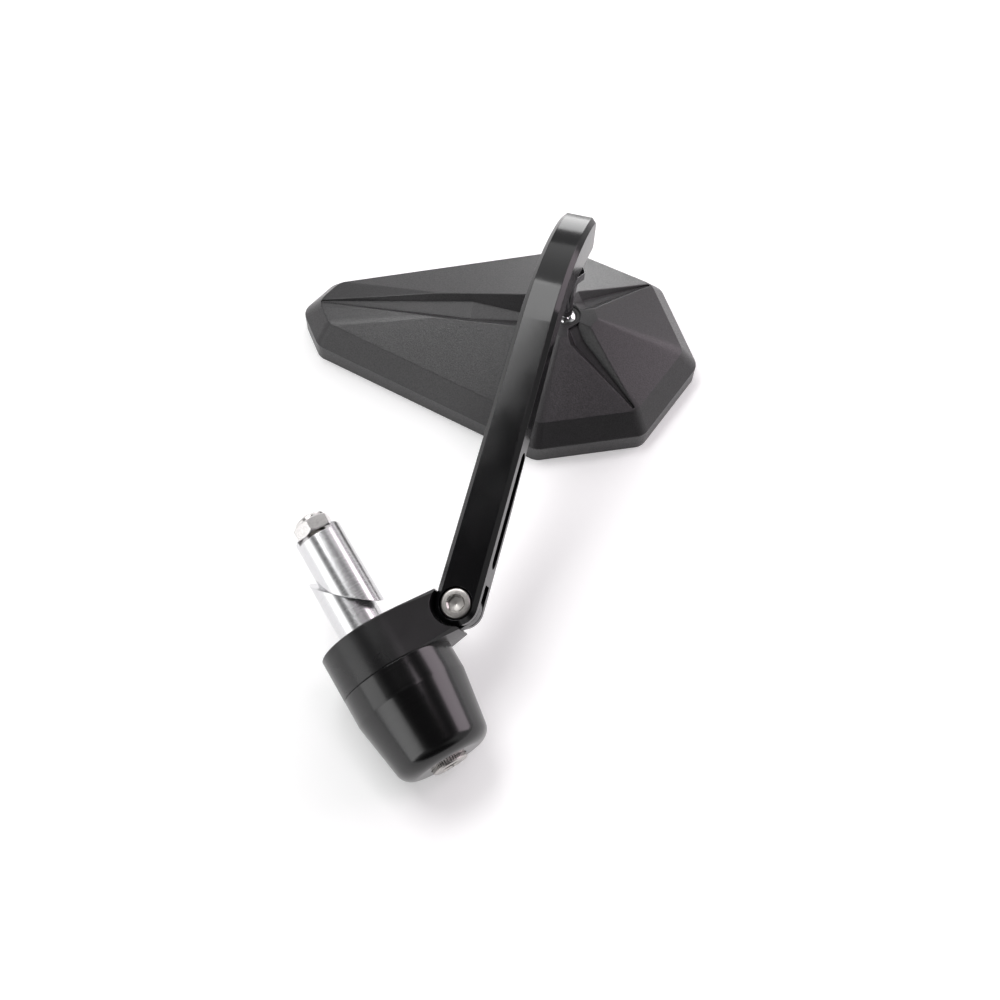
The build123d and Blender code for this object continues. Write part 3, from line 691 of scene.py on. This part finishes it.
@dataclass
class Dresser:
    """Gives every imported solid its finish."""

    line: AxisLine

    def wardrobe(self) -> list[tuple[Finish, list[str]]]:
        """List each finish with the solids that wear it.

        Returns:
            Pairs of a finish and the names of its solids.
        """
        coat = CoatFinish("housing_coat", Hue.COAT_DARK, Hue.COAT_LIGHT)
        arm = SatinFinish(
            "arm_anodised", Hue.ANODISED, Hue.ANODISED_LIGHT, roughness=0.1, specular=0.36
        )
        link = SatinFinish("link_blasted", Hue.RING_BLACK, Hue.BLASTED, roughness=0.27, bump=0.16)
        weight = TurnedFinish(
            "weight_turned", Hue.TURNED_BLACK, Hue.RING_BLACK, self.line,
            roughness=0.17, metallic=0.0, specular=0.6, bump=0.03,
        )
        wedge = TurnedFinish(
            "wedge_turned", Hue.DULL_ALUMINIUM, Hue.BRIGHT_ALUMINIUM, self.line,
            roughness=0.24, bump=0.05,
        )
        nut = MetalFinish("nut_zinc", Hue.ZINC, roughness=0.2, edge=0.4 * MM)
        screw = MetalFinish(
            "screw_stainless", Hue.STAINLESS, roughness=0.32, scuff=0.06, bump=0.0, edge=0.0
        )
        chrome = MetalFinish("stud_chrome", Hue.CHROME, roughness=0.1, scuff=0.06)
        black = SatinFinish("nylon_black", Hue.NYLON_BLACK, Hue.NYLON_BLACK, roughness=0.5)
        pale = SatinFinish("nylon_pale", Hue.NYLON_PALE, Hue.NYLON_PALE, roughness=0.45)
        glass = MetalFinish("glass_silvered", Hue.SILVERED, roughness=0.03, scuff=0.01, bump=0.0)
        screws_and_plate = ["through_bolt", "pivot_screw"]
        screws_and_plate += ["pressure_plate", "plate_screws", "spring_washers"]
        black_inserts = ["pivot_washer_upper", "pivot_washer_lower"]
        black_inserts += ["ball_seat_upper", "ball_seat_lower", "glass_tape"]
        return [
            (coat, ["mirror_housing"]),
            (arm, ["arm"]),
            (link, ["link"]),
            (weight, ["bar_weight"]),
            (wedge, ["draw_wedge", "slip_wedge"]),
            (nut, ["lock_nut"]),
            (screw, screws_and_plate),
            (chrome, ["ball_stud"]),
            (black, black_inserts),
            (pale, ["nut_insert"]),
            (glass, ["mirror_glass"]),
        ]

    def dress(self) -> dict[str, bpy.types.Material]:
        """Make each finish and put it on its solids.

        Returns:
            The materials by name.
        """
        made = {}
        for finish, nodes in self.wardrobe():
            made[finish.name] = finish.material()
            for node in nodes:
                mesh = frame["nodes"][node].data
                mesh.materials.clear()
                mesh.materials.append(made[finish.name])
                LOG.info("dressed %s in %s", node, finish.name)
        return made


@dataclass(frozen=True)
class Panel:
    """A soft lamp: its place and the width and height of its face, in metres.

    A radiance of 1 is a face that reads as white. It takes the given power for each square
    metre of the face.
    """

    name: str
    place: Triple
    size: Pair
    radiance: float
    tint: Hue = Hue.WHITE
    power_per_area: float = 4.0

    def hang(self, target: Triple) -> None:
        """Hang the lamp so that it looks at a point.

        Args:
            target: The point, in the row frame.
        """
        data = bpy.data.lights.new(self.name, "AREA")
        data.shape = "RECTANGLE"
        data.size, data.size_y = self.size
        data.energy = self.power_per_area * self.size[0] * self.size[1] * self.radiance
        data.color = self.tint.value
        made = bpy.data.objects.new(self.name, data)
        made.location = self.place
        aim = Vector(target) - Vector(self.place)
        made.rotation_euler = aim.to_track_quat("-Z", "Y").to_euler()
        bpy.context.scene.collection.objects.link(made)


@dataclass
class Studio:
    """White bench, walls, soft lamps and a camera at the photograph's angle."""

    bench: float = -22.93 * MM
    bench_half: float = 6.0
    bench_roughness: float = 0.9
    bench_specular: float = 0.1
    glow_reach: Pair = (0.45, 1.8)
    glow: Pair = (0.3, 0.9)
    up: Triple = (0.0, 0.0, 1.0)
    ceiling_window: Pair = (0.55, 0.84)
    gap: Triple = (0.25, -0.97, 0.0)
    gap_window: Pair = (0.52, 0.8)
    wall_light: float = 0.5
    ceiling_light: float = 0.05
    backdrop_window: Pair = (0.05, 0.12)
    backdrop_light: float = 1.0
    eye: Triple = (45.85 * MM, -159.7 * MM, 320.4 * MM)
    target: Triple = (45.85 * MM, 33.36 * MM, -22.93 * MM)
    roll: float = -2.99
    lens: float = 46.8
    sensor: float = 36.0
    clip: float = 0.01
    panels: tuple[Panel, ...] = (
        Panel("top_panel", (-0.3, 0.305, 0.9), (0.6, 0.38), 5.2),
        Panel("right_panel", (0.78, 0.42, 0.44), (0.68, 0.55), 2.2, Hue.ROSE),
        Panel("back_panel", (0.05, 0.75, 0.75), (0.8, 0.6), 1.0),
        Panel("left_panel", (-0.71, -0.31, 0.31), (0.3, 0.5), 1.2),
        Panel("low_panel", (0.2, 1.0, 0.14), (0.3, 0.3), 4.4),
        Panel("near_panel", (-0.47, -0.56, 0.34), (0.2, 0.6), 1.6),
        Panel("middle_panel", (0.18, 0.0, 0.5), (0.12, 0.1), 4.2, Hue.PALE_ROSE),
    )

    def floor(self) -> None:
        """Lay a white bench that keeps the object's shadow and reads as white to the camera."""
        corners = np.array([[-1, -1], [1, -1], [1, 1], [-1, 1]], float) * self.bench_half
        points = np.column_stack([corners, np.full(len(corners), self.bench)])
        bench = shaped("bench", points, np.array([[0, 1, 2, 3]]), smooth=False)
        sheet = FinishSheet("bench_white")
        sheet.drive("Base Color", Hue.FLOOR.rgba())
        sheet.drive("Roughness", self.bench_roughness)
        sheet.drive("Specular IOR Level", self.bench_specular)
        rays = sheet.add("LightPath").outputs
        seen = sheet.reckon("MAXIMUM", rays["Is Camera Ray"], rays["Is Glossy Ray"])
        seen = sheet.reckon("MAXIMUM", seen, rays["Is Transmission Ray"])
        length = sheet.add("VectorMath", operation="LENGTH", Vector=sheet.coords())
        glow = sheet.spread(length.outputs["Value"], self.glow_reach, self.glow)
        sheet.drive("Emission Color", Hue.WHITE.rgba())
        sheet.drive("Emission Strength", sheet.reckon("MULTIPLY", seen, glow))
        bench.data.materials.append(sheet.material)

    def sky(self) -> None:
        """Put pale walls round the bench, a dim ceiling over it and a dark gap by the camera.

        The camera sees a white backdrop instead, and metal and glass see its foot.
        """
        world = bpy.data.worlds.new("studio_walls")
        bpy.context.scene.world = world
        sheet = NodeSheet(world)
        place = sheet.add("TexCoord").outputs["Generated"]
        falling = (1.0, 0.0)
        ceiling = sheet.spread(
            sheet.reach(place, self.up), self.ceiling_window, falling, Fade.SMOOTH
        )
        gap = sheet.spread(sheet.reach(place, self.gap), self.gap_window, falling, Fade.SMOOTH)
        wall = sheet.reckon("MULTIPLY", ceiling, gap)
        light = sheet.reckon("MULTIPLY_ADD", wall, self.wall_light, self.ceiling_light)
        level = sheet.add("SeparateXYZ", Vector=place).outputs["Z"]
        foot = sheet.spread(level, self.backdrop_window, falling)
        rays = sheet.add("LightPath").outputs
        shown = sheet.reckon("MAXIMUM", rays["Is Glossy Ray"], rays["Is Transmission Ray"])
        shown = sheet.reckon("MULTIPLY", shown, foot)
        shown = sheet.reckon("MAXIMUM", shown, rays["Is Camera Ray"])
        strength = sheet.mix(shown, light, self.backdrop_light, Blend.NUMBER)
        back = sheet.add("Background", Color=Hue.WHITE.rgba(), Strength=strength)
        sheet.add("OutputWorld", Surface=back.outputs["Background"])

    def camera(self) -> None:
        """Set the camera at the photograph's height and roll."""
        data = bpy.data.cameras.new("view")
        data.lens = self.lens
        data.sensor_width = self.sensor
        data.clip_start = self.clip
        made = bpy.data.objects.new("view", data)
        look = (Vector(self.target) - Vector(self.eye)).normalized()
        right = look.cross(Vector(self.up)).normalized()
        top = right.cross(look)
        tilt = math.radians(self.roll)
        across = right * math.cos(tilt) - top * math.sin(tilt)
        upright = right * math.sin(tilt) + top * math.cos(tilt)
        turn = Matrix([across, upright, -look]).transposed()
        made.matrix_world = Matrix.Translation(self.eye) @ turn.to_4x4()
        bpy.context.scene.collection.objects.link(made)
        bpy.context.scene.camera = made

    def build(self) -> None:
        """Make the bench, walls, lamps and camera."""
        bpy.context.scene.view_settings.view_transform = "Standard"
        self.floor()
        self.sky()
        for panel in self.panels:
            panel.hang(self.target)
        self.camera()


def screws(bar: AxisLine) -> list[CapScrew]:
    """The two screws that are seen, each on its own axis.

    Args:
        bar: The handlebar's axis.

    Returns:
        The through bolt and the pivot screw.
    """
    pivot = AxisLine.from_joint("arm_fold", "head_spin", flip=True)
    return [
        CapScrew(
            "cut_bolt", "bolt", "through_bolt", "bolt_steel", bar,
            head_seat=-35.3 * MM, tip=37.9 * MM, shank_radius=3.0 * MM,
            head_radius=5.0 * MM, head_height=6.0 * MM, head_edge=0.5 * MM,
            socket_flats=5.0 * MM, socket_depth=3.0 * MM, thread_start=24.0 * MM, pitch=1.0 * MM,
        ),
        CapScrew(
            "cut_pivot_screw", "arm_body", "pivot_screw", "screw_steel", pivot,
            head_seat=-3.7 * MM, tip=5.8 * MM, shank_radius=2.5 * MM,
            head_radius=4.25 * MM, head_height=2.3 * MM, head_edge=0.75 * MM,
            socket_flats=4.0 * MM, socket_depth=1.3 * MM, thread_start=-1.0 * MM, pitch=0.8 * MM,
        ),
    ]


def main() -> None:
    """Build the studio, dress the solids and make the screws that the solids leave plain."""
    logging.basicConfig(level=logging.INFO, format="%(message)s")
    bar = AxisLine.from_joint("bolt_turn", "arm_fold")
    Studio().build()
    materials = Dresser(bar).dress()
    for screw in screws(bar):
        screw.build(materials["screw_stainless"])


if __name__ == "__main__":
    main()
